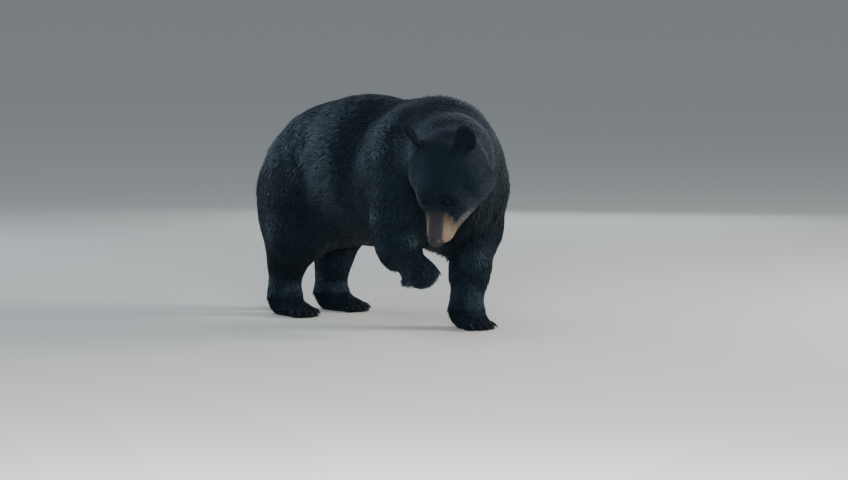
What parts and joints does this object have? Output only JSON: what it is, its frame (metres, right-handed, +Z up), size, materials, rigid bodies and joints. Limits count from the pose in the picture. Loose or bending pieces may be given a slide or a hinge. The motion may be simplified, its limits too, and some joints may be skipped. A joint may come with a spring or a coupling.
{
  "type": "american black bear",
  "caption": "Life-size still model of a glossy black bear standing with one forepaw lifted and its tan-muzzled head lowered and turned to its right.",
  "frame": {"origin": "on the floor, under the middle of the bounding box", "axes": "+X the way the body faces, +Y the bear's left, +Z up"},
  "size_m": [1.272, 0.6004, 0.7655],
  "materials": {
    "coat": "short glossy black fur, with a tan and grey-brown muzzle",
    "nose_pad": "moist, finely grained",
    "eye": "polished dark brown"
  },
  "bodies": {
    "root": {"trunk": "coat", "neck": "coat", "head": "coat", "lower_jaw": "coat", "nose": "nose_pad", "eye_left": "eye", "eye_right": "eye", "ear_left": "coat", "ear_right": "coat", "foreleg_left": "coat", "forepaw_left": "coat", "foreleg_right": "coat", "forepaw_right": "coat", "hind_leg_left": "coat", "hind_paw_left": "coat", "hind_leg_right": "coat", "hind_paw_right": "coat", "tail": "coat"}
  },
  "joints": []
}
